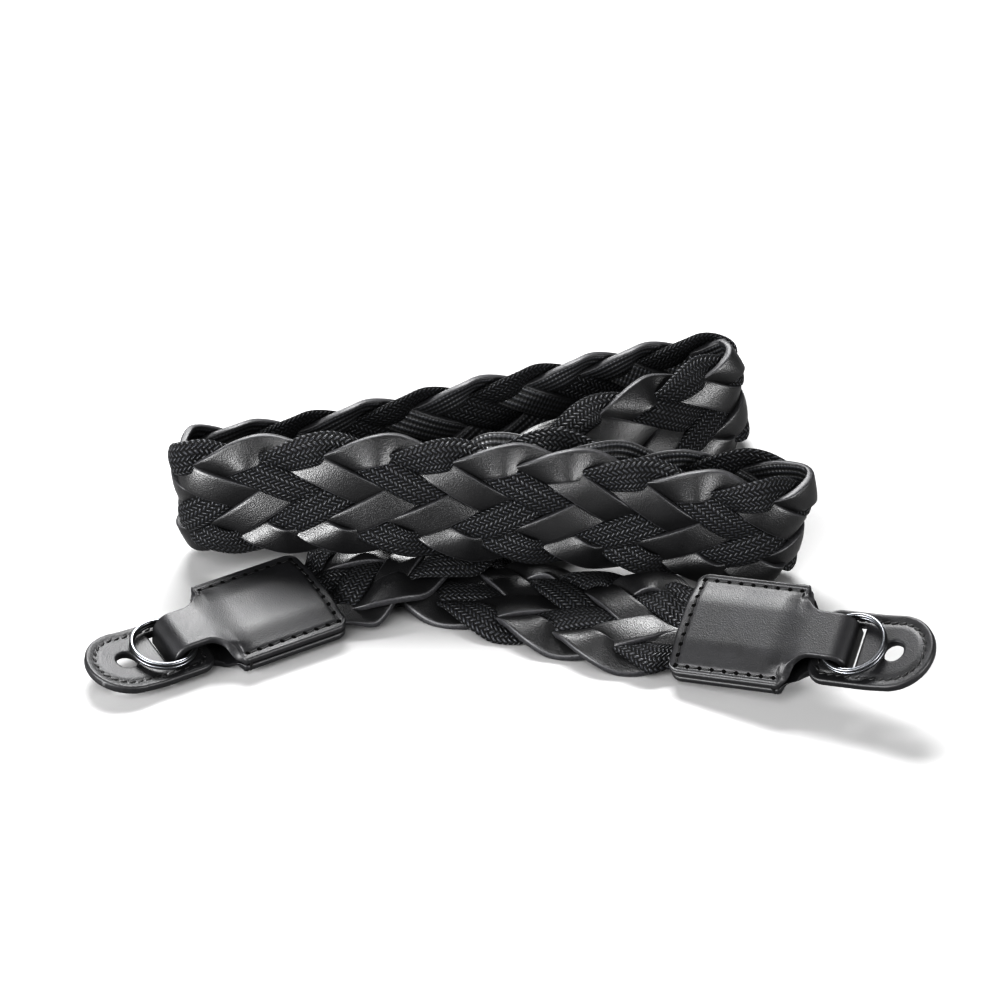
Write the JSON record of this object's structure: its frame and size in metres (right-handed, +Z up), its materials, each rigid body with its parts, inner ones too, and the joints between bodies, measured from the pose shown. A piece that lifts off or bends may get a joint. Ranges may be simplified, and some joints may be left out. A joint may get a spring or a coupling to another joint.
{
  "type": "braided camera strap",
  "caption": "Flat braided leather and textile camera strap lying loosely coiled, with stitched leather end tabs, split rings and lug guards.",
  "frame": {"origin": "centre of the bounding box's base, on the surface that the strap lies on", "axes": "+X to the right along the coil's length, +Y away from the viewer, +Z up"},
  "size_m": [0.1834, 0.124, 0.0386],
  "materials": {
    "braid": "satin black leather strips braided with black woven textile strands",
    "tab_leather": "satin smooth black leather with painted edges",
    "ring_steel": "brushed steel wire"
  },
  "bodies": {
    "root": {"braided_band": "braid", "left_tab": "tab_leather", "left_guard": "tab_leather", "left_ring": "ring_steel", "right_tab": "tab_leather", "right_guard": "tab_leather", "right_ring": "ring_steel"}
  },
  "joints": []
}
